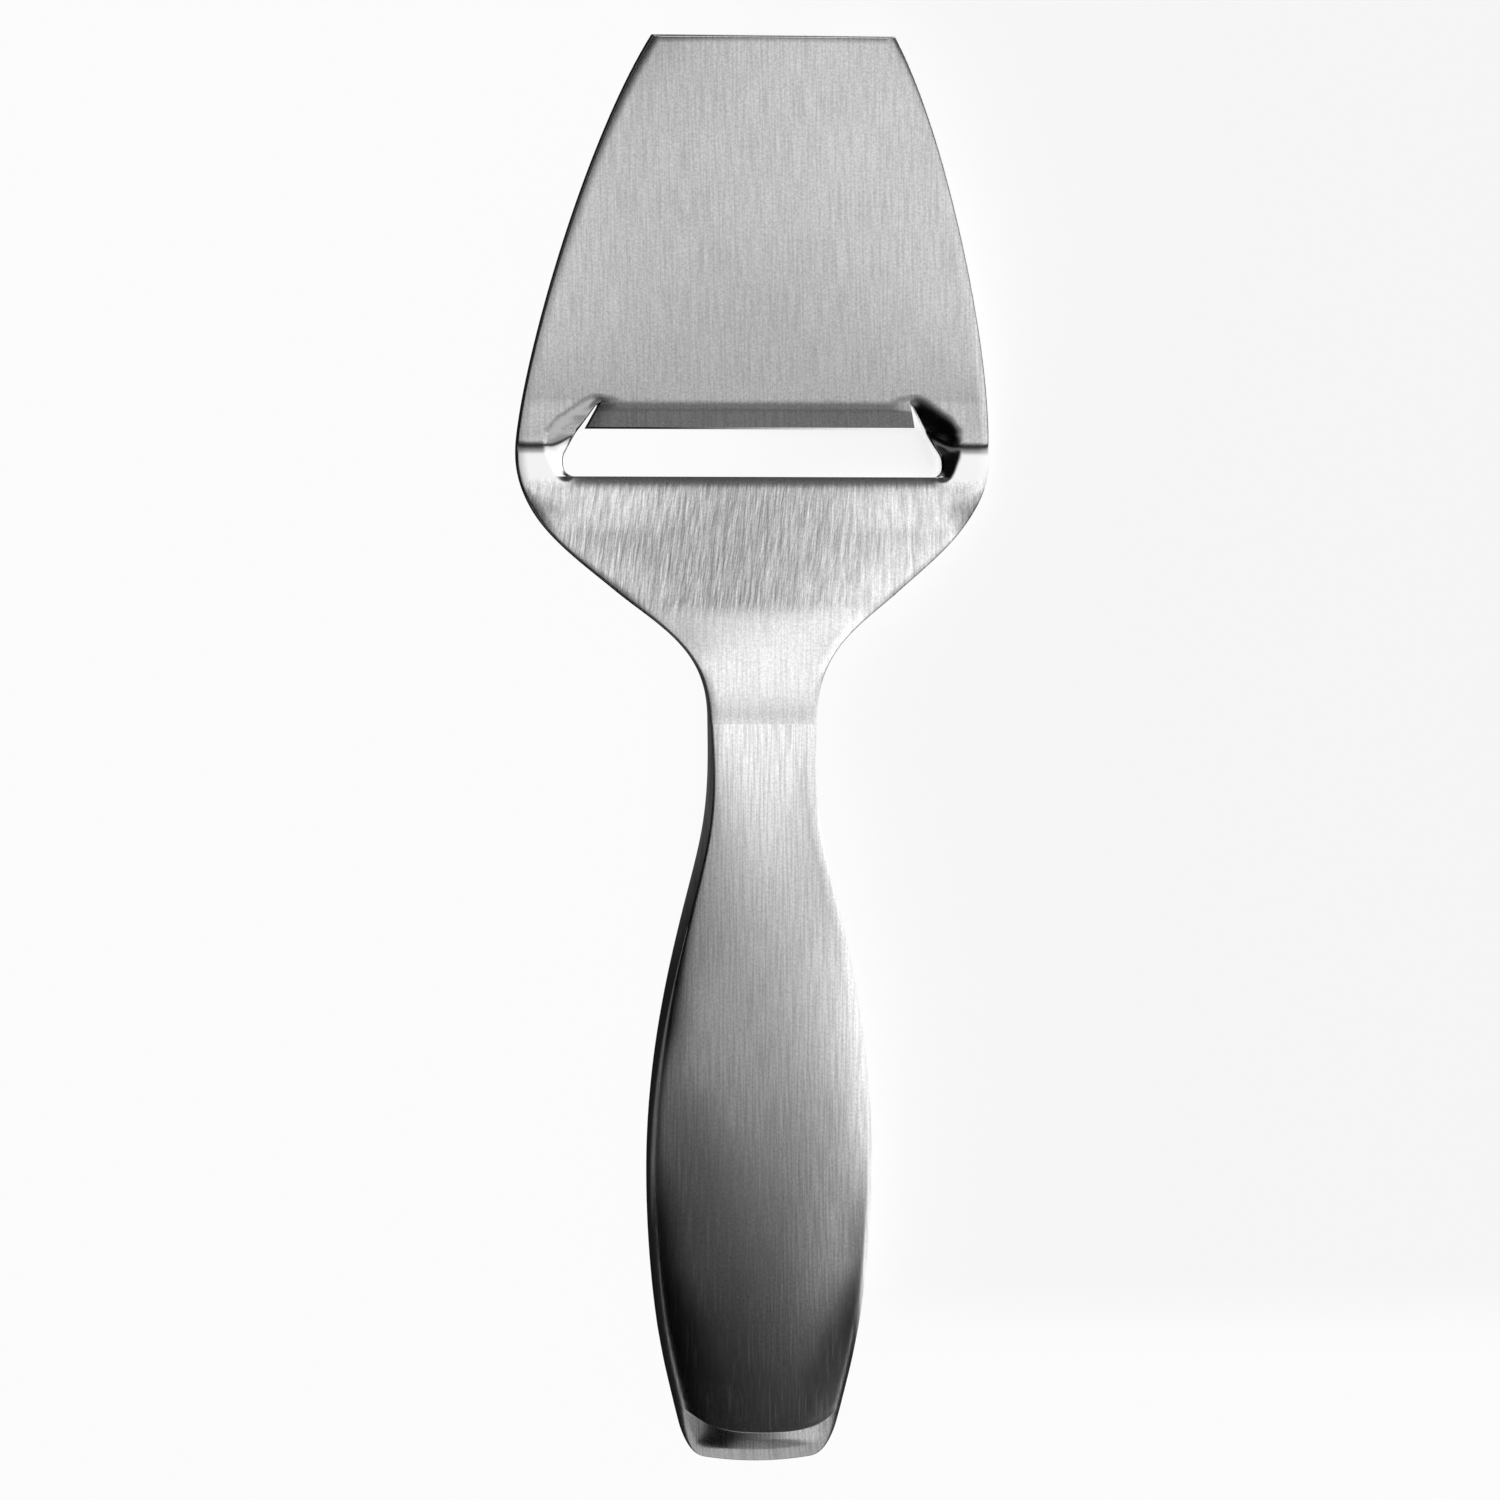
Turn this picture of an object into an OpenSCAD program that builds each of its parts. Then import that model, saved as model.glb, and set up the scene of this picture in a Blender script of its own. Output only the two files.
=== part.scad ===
// Cheese slicer with a pressed blade plate and a hollow steel handle.
// +Y points to the tip, +X to the right and +Z up. The slicer lies on its cutting lip and on the
// belly of its handle, and the origin is on that surface, under the middle of its length.

/* [Front plate] */
// Length of the front plate, from the lip's bend to the tip
front_len = 64.1; // [50:0.1:80]
// Width of the straight front edge
tip_w = 44; // [34:0.2:54]
// Angle between the sides and the length where they leave the front edge
tip_flare = 31; // [15:1:40]
// Rise of the front plate from level
front_angle = 12; // [6:0.5:16]
// Greatest width of the head
head_w = 85.8; // [80:0.2:96]
// Distance of the greatest width ahead of the slot's rear edge
head_w_ahead = 3.7; // [2:0.1:6]
// Thickness of the sheet
sheet_t = 1.8; // [1.4:0.1:2.2]
// Rounding of the sheet's outer edge
edge_r = 0.4; // [0.2:0.05:0.45]

/* [Slot and lip] */
// Gap between the cutting edge and the slot's rear edge, seen from above
slot_gap = 8.4; // [6.5:0.1:10]
// Width of the slot between its ends
slot_w = 68.6; // [64:0.2:74]
// Length of the slot's straight ends
slot_end_len = 3.5; // [2.6:0.1:5]
// Radius of the slot's rear corners
slot_corner_r = 1.8; // [1:0.1:2.4]
// Radius between the slot's ends and the slits
slit_bend_r = 2.5; // [1:0.1:3]
// Width of the slit at each side of the lip
slit_w = 0.8; // [0.6:0.1:1.6]
// Radius rolled on the slot's rear edge
roll_r = 1.2; // [0.6:0.1:1.3]
// Distance past the slot's ends over which that roll fades out
roll_fade = 2; // [1:0.1:4]
// Depth of the dish pressed round each end of the slot
dish_depth = 1.3; // [0.4:0.1:1.7]
// Reach of that dish from the ends of the slot
dish_r = 3.8; // [3:0.1:5]
// Reach of that dish from the slits
dish_front_r = 6; // [4:0.1:7]
// Distance ahead of the lip's bend at which the dish starts
dish_lead = 2; // [1:0.1:6]
// Length of the cutting lip, seen from above
lip_reach = 4.7; // [4.2:0.1:6]
// Width of the lip at its bend
lip_root_w = 56; // [48:0.2:57]
// Width of the lip at its cutting edge
lip_edge_w = 59.6; // [54:0.2:60]
// Fall of the lip from level
lip_angle = 38; // [32:1:42]
// Length of the bend at the lip's root
lip_bend_len = 2; // [1:0.1:2.5]
// Length of the bevel ground at the cutting edge
lip_bevel = 1.6; // [0.8:0.1:1.8]
// Thickness left at the cutting edge
lip_edge_t = 0.25; // [0.15:0.05:0.5]

/* [Rear plate and neck] */
// Length from the slot's rear edge to the joint with the handle
rear_len = 43.5; // [36:0.1:54]
// Rise of the rear plate from the slot to the neck
rear_angle = 12; // [10:0.5:15]
// Distance of the crease between the two plates, beside the slot, ahead of the slot's rear edge
crease_ahead = 5.2; // [3:0.1:6]
// Length of the bend at that crease
crease_len = 3.2; // [0.8:0.1:3.5]
// Rise of the facet that follows the crease
facet_angle = 5.5; // [3:0.5:9]
// Distance behind the slot's rear edge at which the facet bends into the rear plate
facet_behind = 1.1; // [0:0.1:3]
// Length of that bend
facet_bend_len = 2; // [1:0.1:4]
// Fall of the rear plate's sides below its middle
camber = 0.8; // [0:0.1:1.2]
// Width of the shoulders where their sides turn from bulging to hollow
shoulder_w = 52; // [44:0.2:60]
// Distance of that width behind the slot's rear edge
shoulder_len = 19.8; // [16:0.1:24]
// Angle of the shoulders there, from the length
shoulder_angle = 50; // [40:1:58]
// Width of the neck at the joint
neck_w = 19.2; // [16:0.2:24]
// Angle at which the sides of the neck still draw in at the joint
throat_angle = 3; // [0:0.5:6]
// Thickness of the neck at the joint
neck_t = 3.2; // [3:0.1:4.2]
// Length over which the sheet thickens to the neck
neck_taper_len = 18; // [10:0.5:30]
// Length of the straight neck ahead of the joint
neck_len = 1.7; // [0.5:0.1:5]
// Distance ahead of the joint at which the rear plate bends into the neck
neck_bend_ahead = 11.7; // [10:0.1:18]
// Length of that bend
neck_bend_len = 20; // [8:0.1:20]

/* [Handle] */
// Length of the handle, from the joint to its end
handle_len = 129.3; // [110:0.1:150]
// Greatest width of the handle
handle_w = 40.4; // [34:0.2:46]
// Distance of the greatest width from the joint
handle_w_at = 78.3; // [68:0.1:90]
// Width of the handle where its sides turn from hollow to bulging
grip_w = 30.6; // [26:0.2:34]
// Distance of that width from the joint
grip_at = 40.3; // [32:0.1:48]
// Angle of the sides there, from the length
grip_angle = 13.5; // [8:0.5:18]
// Width of the handle at its end, before the corners are rounded
handle_end_w = 25.2; // [20:0.2:30]
// Angle of the sides at the end, from the length
handle_end_angle = 16.7; // [8:0.1:20]
// Greatest thickness of the handle
handle_t = 13; // [10:0.1:14]
// Distance of the greatest thickness from the joint
handle_t_at = 95; // [80:0.5:105]
// Thickness of the handle just before its end is rounded
handle_end_t = 12.2; // [9:0.1:13]
// Angle at which the handle's faces leave the neck
swell_angle = 6; // [3:0.5:8]
// Radius of the handle's end, seen from the side
end_r = 5; // [4:0.1:8]
// Radius of the end's corners, seen from above
end_corner_r = 3; // [1.5:0.1:5]
// Bulge of the end, seen from above
end_bulge = 1.3; // [0:0.1:2.5]
// Length over which the sections take up that bulge
end_bulge_len = 24; // [12:1:40]
// Thickness of the handle's shells
wall = 0.8; // [0.5:0.05:0.9]

/* [Tang] */
// Length of the tang inside the handle
tang_len = 34; // [20:0.5:45]
// Gap between the tang and the shells, above and below it at the joint
tang_gap = 0.1; // [0.05:0.05:0.2]
// Gap between the tang and the shells, at each side of it at the joint
tang_side_gap = 1.9; // [1:0.1:3]
// Distance from the joint to the start of the cement
cement_start = 6; // [4:0.5:12]
// Cover of the cement beyond the end of the tang
cement_cover = 6; // [3:0.5:12]

/* [Hidden] */

steel = [0.74, 0.74, 0.75];
cement = [0.55, 0.53, 0.49];

// Places along the length
total_len = front_len + lip_reach + slot_gap + rear_len + handle_len;
y_tip = total_len/2;
y_bend = y_tip - front_len;
y_rear = y_bend - lip_reach - slot_gap;
y_joint = y_rear - rear_len;
y_end = y_joint - handle_len;
y_wide = y_rear + head_w_ahead;
y_crease = y_rear + crease_ahead;
y_facet = y_rear - facet_behind;
y_shoulder = y_rear - shoulder_len;
y_neck = y_joint + neck_len;
y_neck_bend = y_joint + neck_bend_ahead;
y_round = y_end + end_r;
y_belly = y_joint - handle_t_at;

// Tang, from the hollow that it enters
tang_t = neck_t - 2*wall - 2*tang_gap;
tang_w = neck_w - 2*wall - 2*tang_side_gap;
y_tang = y_joint - tang_len;

// Cement, between two sections of the hollow
y_cement = y_joint - cement_start;
y_cement_end = y_tang - cement_cover;

// Counts of faces
front_rows = 16;
rear_rows = 22;
slit_rows = 3;
slit_bend_n = 3;
slot_corner_n = 4;
roll_rows = 3;
lip_bend_rows = 3;
bridge_cols = 8;
centre_cols = 14;
mouth_rows = 2;
cement_rows = 7;
grip_rows = 16;
end_rows = 8;
ring_n = 18;
curve_n = 40;

// How far the curves of the outline and of the handle's faces follow their tangents, as shares
// of their spans
tip_pull = 0.245;
wide_pull_front = 0.218;
wide_pull_rear = 0.468;
shoulder_pull_front = 0.31;
shoulder_pull_rear = 0.36;
neck_pull = 0.545;
throat_pull = 0.45;
grip_pull_front = 0.5;
grip_pull_rear = 0.316;
belly_pull_front = 0.368;
belly_pull_rear = 0.392;
end_pull = 0.275;
swell_pull_front = 0.25;
swell_pull_rear = 0.55;

// Hollowness of the dish: 1 falls evenly to the slot's edge, and more falls steeper near it
dish_power = 1.05;
dish_front_power = 2;
// Lengths over which the dish changes ahead of the crease, and deepens behind its start
dish_change_len = 4;
dish_fade_len = 8;
// Least height of the dish above the surface
dish_clear = 0.1;

// Lengths over which the camber starts behind the slot, and ends ahead of the joint
camber_start_len = 10;
camber_end_len = 14;

// Squareness of the handle's sections: 2 is an ellipse, and more is fuller
joint_square = 8;
face_square = 2.3;
edge_square = 2.6;

// Curves and blends
function lerp(a, b, t) = a + (b - a)*t;
function clamp(t) = min(max(t, 0), 1);
function smooth(t) = let (c = clamp(t)) c*c*(3 - 2*c);
function bezier(p, t) =
    (1 - t)^3*p[0] + 3*(1 - t)^2*t*p[1] + 3*(1 - t)*t^2*p[2] + t^3*p[3];
function curve(p) = [for (i = [0:curve_n]) bezier(p, i/curve_n)];
function swapped(points) = [for (p = points) [p.y, p.x]];
// Rise from 0 whose slope goes from 0 to 1 over len, centred on at
function ramp(y, at, len) =
    y <= at - len/2 ? 0 : y >= at + len/2 ? y - at : (y - at + len/2)^2/(2*len);
function ramp_slope(y, at, len) = clamp((y - at)/len + 0.5);
// Points of a corner rounded to radius r, on the way from a to b
function fillet(a, corner, b, r, n) =
    let (u = (a - corner)/norm(a - corner), v = (b - corner)/norm(b - corner),
         half = acos(u*v)/2, away = (u + v)/norm(u + v),
         centre = corner + away*r/sin(half), start = corner + u*r/tan(half) - centre,
         turn = (u.x*v.y - u.y*v.x > 0 ? -1 : 1)*(180 - 2*half))
    [for (i = [0:n]) let (t = turn*i/n)
        centre + [start.x*cos(t) - start.y*sin(t), start.x*sin(t) + start.y*cos(t)]];
// Distance from point p to the line from a to b
function line_gap(p, a, b) =
    let (t = clamp((p - a)*(b - a)/((b - a)*(b - a)))) norm(p - a - (b - a)*t);
function quad(a, b, c, d) = [[a, b, c], [a, c, d]];
function flat(lists) = [for (l = lists) each l];

// Half width along the whole length, as smooth curves through the named widths
head_span = y_tip - y_wide;
shoulder_span = y_wide - y_shoulder;
shoulder_dir = [sin(shoulder_angle), cos(shoulder_angle)];
tip_pt = [tip_w/2, y_tip];
wide_pt = [head_w/2, y_wide];
shoulder_pt = [shoulder_w/2, y_shoulder];
joint_pt = [neck_w/2, y_joint];
neck_dir = [tan(throat_angle), 1];
neck_pt = joint_pt + neck_len*neck_dir;
grip_pt = [grip_w/2, y_joint - grip_at];
grip_dir = [tan(grip_angle), -1];
grip_span = handle_w_at - grip_at;
belly_pt = [handle_w/2, y_joint - handle_w_at];
tail_span = handle_len - handle_w_at;
end_pt = [handle_end_w/2, y_end];
front_side = curve([tip_pt, tip_pt + tip_pull*head_span*[tan(tip_flare), -1],
    wide_pt + [0, wide_pull_front*head_span], wide_pt]);
shoulder_side = curve([wide_pt, wide_pt - [0, wide_pull_rear*shoulder_span],
    shoulder_pt + shoulder_pull_front*norm(wide_pt - shoulder_pt)*shoulder_dir, shoulder_pt]);
neck_side = curve([shoulder_pt,
    shoulder_pt - shoulder_pull_rear*norm(shoulder_pt - neck_pt)*shoulder_dir,
    neck_pt + neck_pull*(y_shoulder - y_neck)*neck_dir, neck_pt]);
throat_side = curve([joint_pt, joint_pt - throat_pull*grip_at*neck_dir,
    grip_pt - grip_pull_front*grip_at*grip_dir, grip_pt]);
grip_side = curve([grip_pt, grip_pt + grip_pull_rear*grip_span*grip_dir,
    belly_pt + [0, belly_pull_front*grip_span], belly_pt]);
tail_side = curve([belly_pt, belly_pt - [0, belly_pull_rear*tail_span],
    end_pt + end_pull*tail_span*[tan(handle_end_angle), 1], end_pt]);
side_curve = swapped(concat(front_side, shoulder_side, neck_side, throat_side, grip_side, tail_side));
function half_w(y) = lookup(y, side_curve);

// Half thickness of the handle, before its end is rounded
swell_curve = concat(
    curve([[y_joint, neck_t/2],
        [y_joint, neck_t/2] + swell_pull_front*handle_t_at*[-1, tan(swell_angle)],
        [lerp(y_joint, y_belly, swell_pull_rear), handle_t/2], [y_belly, handle_t/2]]),
    [for (i = [1:curve_n]) [lerp(y_belly, y_round, i/curve_n),
        lerp(handle_t, handle_end_t, (i/curve_n)^2)/2]]);
function half_t(y) = lookup(y, swell_curve);

// Height of the middle of the metal: the plates meet in a creased valley beside the slot, and the
// handle falls from the neck until its belly touches the surface that the cutting edge touches
lip_fall = tan(lip_angle) - tan(front_angle);
z_bend = sheet_t/(2*cos(lip_angle)) + tan(front_angle)*lip_reach + lip_fall*(lip_reach - lip_bend_len/2);
z_crease = z_bend - tan(front_angle)*(y_bend - y_crease);
z_neck = z_crease + tan(facet_angle)*(y_crease - y_facet) + tan(rear_angle)*(y_facet - y_neck_bend);
handle_slope = min([for (p = swell_curve) (z_neck - p.y)/(y_neck_bend - p.x)]);
neck_turn = tan(rear_angle) + handle_slope;
facet_turn = tan(rear_angle) - tan(facet_angle);
crease_turn = tan(front_angle) + tan(facet_angle);
function mid_z(y) = z_neck + handle_slope*(y - y_neck_bend)
    - neck_turn*ramp(y, y_neck_bend, neck_bend_len) + facet_turn*ramp(y, y_facet, facet_bend_len)
    + crease_turn*ramp(y, y_crease, crease_len);
function mid_slope(y) = handle_slope - neck_turn*ramp_slope(y, y_neck_bend, neck_bend_len)
    + facet_turn*ramp_slope(y, y_facet, facet_bend_len)
    + crease_turn*ramp_slope(y, y_crease, crease_len);

// Right side of the slot, from the slit beside the lip round to the slot's rear edge
slit_top = [lip_root_w/2 + slit_w, y_bend - slit_w];
slit_foot = [slot_w/2, y_rear + slot_end_len];
slot_corner = [slot_w/2, y_rear];
slot_foot = [slot_w/2 - slot_corner_r, y_rear];
slot_side = concat(
    [for (i = [0:slit_rows - 1]) lerp(slit_top, slit_foot, i/slit_rows)],
    fillet(slit_top, slit_foot, slot_corner, slit_bend_r, slit_bend_n),
    fillet(slit_foot, slot_corner, slot_foot, slot_corner_r, slot_corner_n));

// The dish deepens from just ahead of the lip's bend to the ends of the slot, crisp behind the crease
// and soft ahead of it
dish_fall = min(dish_depth, z_crease - sheet_t/2 - dish_clear);
function dish(p) =
    let (q = [abs(p.x), p.y], ahead = smooth((p.y - y_crease)/dish_change_len),
         gap = min(line_gap(q, slit_top, slit_foot), line_gap(q, slit_foot, slot_corner)),
         share = clamp(1 - gap/lerp(dish_r, dish_front_r, ahead)))
    dish_fall*share^lerp(dish_power, dish_front_power, ahead)
        *smooth((y_bend + dish_lead - p.y)/dish_fade_len);
// The rear plate falls a little towards its sides
function side_fall(p) =
    camber*(p.x/half_w(p.y))^2*smooth((y_rear - p.y)/camber_start_len)
        *smooth((p.y - y_joint)/camber_end_len);
// The rolled rear edge of the slot fades out past the slot's corners
function roll(p) =
    let (in = roll_r*(1 - clamp((y_rear - p.y)/roll_r)))
    (roll_r - sqrt(roll_r^2 - in^2))*clamp((slot_w/2 + roll_fade - abs(p.x))/(2*roll_fade));

// Rows of the blade plate from the tip to the end of the tang: inner and outer x, y of each right half
slot_row = front_rows;
rear_row = slot_row + len(slot_side);
roll_ys = [for (i = [1:roll_rows]) y_rear - roll_r*(1 - cos(90*i/roll_rows))];
rear_ys = concat(roll_ys, [for (i = [1:rear_rows]) lerp(y_rear - roll_r, y_joint, i/rear_rows)]);
tang_row = rear_row + len(rear_ys) + 1;
last_row = tang_row + 1;
last_col = 2*bridge_cols + centre_cols;
function plan_w(y) = half_w(y) - edge_r;
lip_share = lip_root_w/2/plan_w(y_bend);
rear_share = slot_foot.x/plan_w(y_rear);
rows = concat(
    [for (i = [0:front_rows]) let (y = lerp(y_tip - edge_r, y_bend, i/front_rows), w = plan_w(y))
        [lip_share*w, y, w, y]],
    [for (i = [0:len(slot_side) - 1]) let (y = lerp(y_bend, y_rear, (i + 1)/len(slot_side)))
        [slot_side[i].x, slot_side[i].y, plan_w(y), y]],
    [for (y = rear_ys) [rear_share*plan_w(y), y, plan_w(y), y]],
    [for (y = [y_joint, y_tang + edge_r]) let (w = tang_w/2 - edge_r) [rear_share*w, y, w, y]]);
function plan(i, j) =
    let (r = rows[i], k = j - bridge_cols, over = k - centre_cols, side = k < 0 ? -1 : 1,
         t = (k < 0 ? -k : over)/bridge_cols)
    k >= 0 && over <= 0 ? [r[0]*(2*k/centre_cols - 1), r[1]] :
        [side*lerp(r[0], r[2], t), lerp(r[1], r[3], t)];
y_taper = y_joint + neck_taper_len;
function plate_half(i, y) = i >= tang_row ? tang_t/2 :
    lerp(sheet_t, neck_t, clamp((y_taper - y)/neck_taper_len)^2)/2*sqrt(1 + mid_slope(y)^2);
function plate_mid(p) = mid_z(p.y) - dish(p) - side_fall(p);
function face_pt(i, j, up) =
    let (p = plan(i, j), rear = i >= rear_row && i < tang_row)
    [p.x, p.y, plate_mid(p) + up*plate_half(i, p.y) - (up > 0 && rear ? roll(p) : 0)];

// Outer edge of the blade plate, clockwise from the tip's left corner, rounded over edge_r
outer_loop = concat([for (j = [0:last_col]) [0, j]], [for (i = [1:last_row]) [i, last_col]],
    [for (j = [last_col - 1:-1:0]) [last_row, j]], [for (i = [last_row - 1:-1:1]) [i, 0]]);
function rim_pt(c, up) =
    let (i = c[0], j = c[1], p = plan(i, j),
         q = [p.x + edge_r*(j == 0 ? -1 : j == last_col ? 1 : 0),
              p.y + edge_r*(i == 0 ? 1 : i == last_row ? -1 : 0)])
    [q.x, q.y, plate_mid(p) + up*(plate_half(i, p.y) - edge_r)];

// Rows of the lip behind its bend, and the ground bevel at its cutting edge
lip_steps = concat([for (i = [1:lip_bend_rows]) lip_bend_len*i/lip_bend_rows],
    [lip_reach - lip_bevel, lip_reach]);
function lip_pt(q, c, up) =
    let (slope = tan(front_angle) + lip_fall*ramp_slope(q, lip_bend_len/2, lip_bend_len),
         mid = z_bend - tan(front_angle)*q - lip_fall*ramp(q, lip_bend_len/2, lip_bend_len),
         half = sheet_t/2*sqrt(1 + slope^2), at_edge = up > 0 && q >= lip_reach)
    [lerp(lip_root_w, lip_edge_w, q/lip_reach)/2*(2*c/centre_cols - 1), y_bend - q,
        at_edge ? mid - half + lip_edge_t : mid + up*half];

// One module per piece
module blade_plate() {
    cols = last_col + 1;
    grid_n = (last_row + 1)*cols;
    rim_n = len(outer_loop);
    lip_cols = centre_cols + 1;
    lip_n = len(lip_steps)*lip_cols;
    left = bridge_cols;
    right = bridge_cols + centre_cols;
    rim_0 = 2*grid_n;
    lip_0 = rim_0 + 2*rim_n;
    points = concat(
        [for (up = [1, -1], i = [0:last_row], j = [0:last_col]) face_pt(i, j, up)],
        [for (up = [1, -1], c = outer_loop) rim_pt(c, up)],
        [for (up = [1, -1], q = lip_steps, c = [0:centre_cols]) lip_pt(q, c, up)]);
    function at(i, j, s) = s*grid_n + i*cols + j;
    function rim(k, s) = rim_0 + s*rim_n + k%rim_n;
    function edge(k, s) = at(outer_loop[k%rim_n][0], outer_loop[k%rim_n][1], s);
    function lip(k, c, s) =
        k == 0 ? at(slot_row, left + c, s) : lip_0 + s*lip_n + (k - 1)*lip_cols + c;
    function in_slot(i, j) = i >= slot_row && i < rear_row && j >= left && j < right;
    lip_rows = len(lip_steps);
    // Edge of the slot and the lip, with the metal on the right
    slot_loop = concat([for (i = [slot_row:rear_row]) [at(i, left, 0), at(i, left, 1)]],
        [for (j = [left + 1:right]) [at(rear_row, j, 0), at(rear_row, j, 1)]],
        [for (i = [rear_row - 1:-1:slot_row]) [at(i, right, 0), at(i, right, 1)]],
        [for (k = [1:lip_rows]) [lip(k, centre_cols, 0), lip(k, centre_cols, 1)]],
        [for (c = [centre_cols - 1:-1:0]) [lip(lip_rows, c, 0), lip(lip_rows, c, 1)]],
        [for (k = [lip_rows - 1:-1:1]) [lip(k, 0, 0), lip(k, 0, 1)]]);
    slot_n = len(slot_loop);
    faces = flat(concat(
        [for (i = [0:last_row - 1], j = [0:last_col - 1]) if (!in_slot(i, j)) each [
            quad(at(i, j, 0), at(i, j + 1, 0), at(i + 1, j + 1, 0), at(i + 1, j, 0)),
            quad(at(i, j, 1), at(i + 1, j, 1), at(i + 1, j + 1, 1), at(i, j + 1, 1))]],
        [for (k = [0:rim_n - 1]) each [
            quad(edge(k + 1, 0), edge(k, 0), rim(k, 0), rim(k + 1, 0)),
            quad(rim(k + 1, 0), rim(k, 0), rim(k, 1), rim(k + 1, 1)),
            quad(rim(k + 1, 1), rim(k, 1), edge(k, 1), edge(k + 1, 1))]],
        [for (k = [0:lip_rows - 1], c = [0:centre_cols - 1]) each [
            quad(lip(k, c, 0), lip(k, c + 1, 0), lip(k + 1, c + 1, 0), lip(k + 1, c, 0)),
            quad(lip(k, c, 1), lip(k + 1, c, 1), lip(k + 1, c + 1, 1), lip(k, c + 1, 1))]],
        [for (k = [0:slot_n - 1]) let (a = slot_loop[k], b = slot_loop[(k + 1)%slot_n])
            quad(b[0], a[0], a[1], b[1])]));
    color(steel) polyhedron(points, faces);
}

// Sections of the handle: crown rounds its faces and edge rounds its sides, from flat and crisp at
// the neck to full and soft at the end
function crown(run) = lerp(joint_square, face_square, smooth(run/grip_at));
function edge(run) = lerp(joint_square, edge_square, smooth(run/handle_t_at));
// Places of the sections, with the turn of the rounded end at each
cement_stations = [for (i = [0:cement_rows]) [lerp(y_cement, y_cement_end, i/cement_rows), 0]];
stations = concat(
    [for (i = [0:mouth_rows - 1]) [lerp(y_joint, y_cement, i/mouth_rows), 0]],
    cement_stations,
    [for (i = [1:grip_rows]) [lerp(y_cement_end, y_round, i/grip_rows), 0]],
    [for (i = [1:end_rows]) let (a = 90*i/end_rows) [y_round - end_r*sin(a), a]]);
function corner_cut(y) =
    let (in = max(0, y_end + end_corner_r - y))
    end_corner_r - sqrt(max(0, end_corner_r^2 - in^2));
// Points over the upper half of a station from right to left, inset from the outside
function half_ring(station, inset) =
    let (y = station[0], a = station[1], run = y_joint - y, near = y + inset*sin(a),
         w = half_w(y) - corner_cut(y) - inset, h = (half_t(y) - inset)*cos(a),
         bulge = end_bulge*clamp((y_end + end_bulge_len - y)/end_bulge_len))
    [for (j = [0:ring_n]) let (b = 180*j/ring_n,
            x = w*sign(cos(b))*abs(cos(b))^(2/crown(run)))
        [x, near + bulge*(2*x/handle_end_w)^2, h*sin(b)^(2/edge(run))]];
function shell_pt(p, up) = [p.x, p.y, mid_z(p.y) + up*p.z];

module handle_shell(up) {
    n = len(stations);
    ring = ring_n + 1;
    points = [for (inset = [0, wall], s = stations, p = half_ring(s, inset)) shell_pt(p, up)];
    function out(i, j) = i*ring + j;
    function in(i, j) = (n + i)*ring + j;
    faces = flat(concat(
        [for (i = [0:n - 2], j = [0:ring_n - 1]) each [
            quad(out(i, j), out(i + 1, j), out(i + 1, j + 1), out(i, j + 1)),
            quad(in(i, j), in(i, j + 1), in(i + 1, j + 1), in(i + 1, j))]],
        [for (j = [0:ring_n - 1]) each [
            quad(out(0, j), out(0, j + 1), in(0, j + 1), in(0, j)),
            quad(out(n - 1, j), in(n - 1, j), in(n - 1, j + 1), out(n - 1, j + 1))]],
        [for (i = [0:n - 2]) each [
            quad(out(i, 0), in(i, 0), in(i + 1, 0), out(i + 1, 0)),
            quad(out(i, ring_n), out(i + 1, ring_n), in(i + 1, ring_n), in(i, ring_n))]]));
    turned = up > 0 ? faces : [for (f = faces) [f[2], f[1], f[0]]];
    color(steel) polyhedron(points, turned);
}

module handle_top_shell() handle_shell(1);
module handle_bottom_shell() handle_shell(-1);

// The cement fills the hollow round the tang between two sections of the shells
module tang_cement() {
    n = len(cement_stations);
    ring = 2*ring_n;
    points = [for (s = cement_stations) let (half = half_ring(s, wall)) each concat(
        [for (p = half) shell_pt(p, 1)],
        [for (j = [ring_n - 1:-1:1]) shell_pt(half[j], -1)])];
    function at(i, j) = i*ring + j%ring;
    faces = concat(
        flat([for (i = [0:n - 2], j = [0:ring - 1])
            quad(at(i, j), at(i + 1, j), at(i + 1, j + 1), at(i, j + 1))]),
        [[for (j = [0:ring - 1]) at(0, j)]],
        [[for (j = [ring - 1:-1:0]) at(n - 1, j)]]);
    color(cement) difference() {
        polyhedron(points, faces);
        tang_pocket();
    }
}

// Space that the tang takes up, open towards the neck
module tang_pocket() {
    half = tang_t/2;
    rotate([90, 0, 90]) linear_extrude(height = tang_w, center = true)
        polygon([[y_joint, mid_z(y_joint) - half], [y_joint, mid_z(y_joint) + half],
            [y_tang, mid_z(y_tang) + half], [y_tang, mid_z(y_tang) - half]]);
}

blade_plate();
handle_top_shell();
handle_bottom_shell();
tang_cement();
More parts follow.
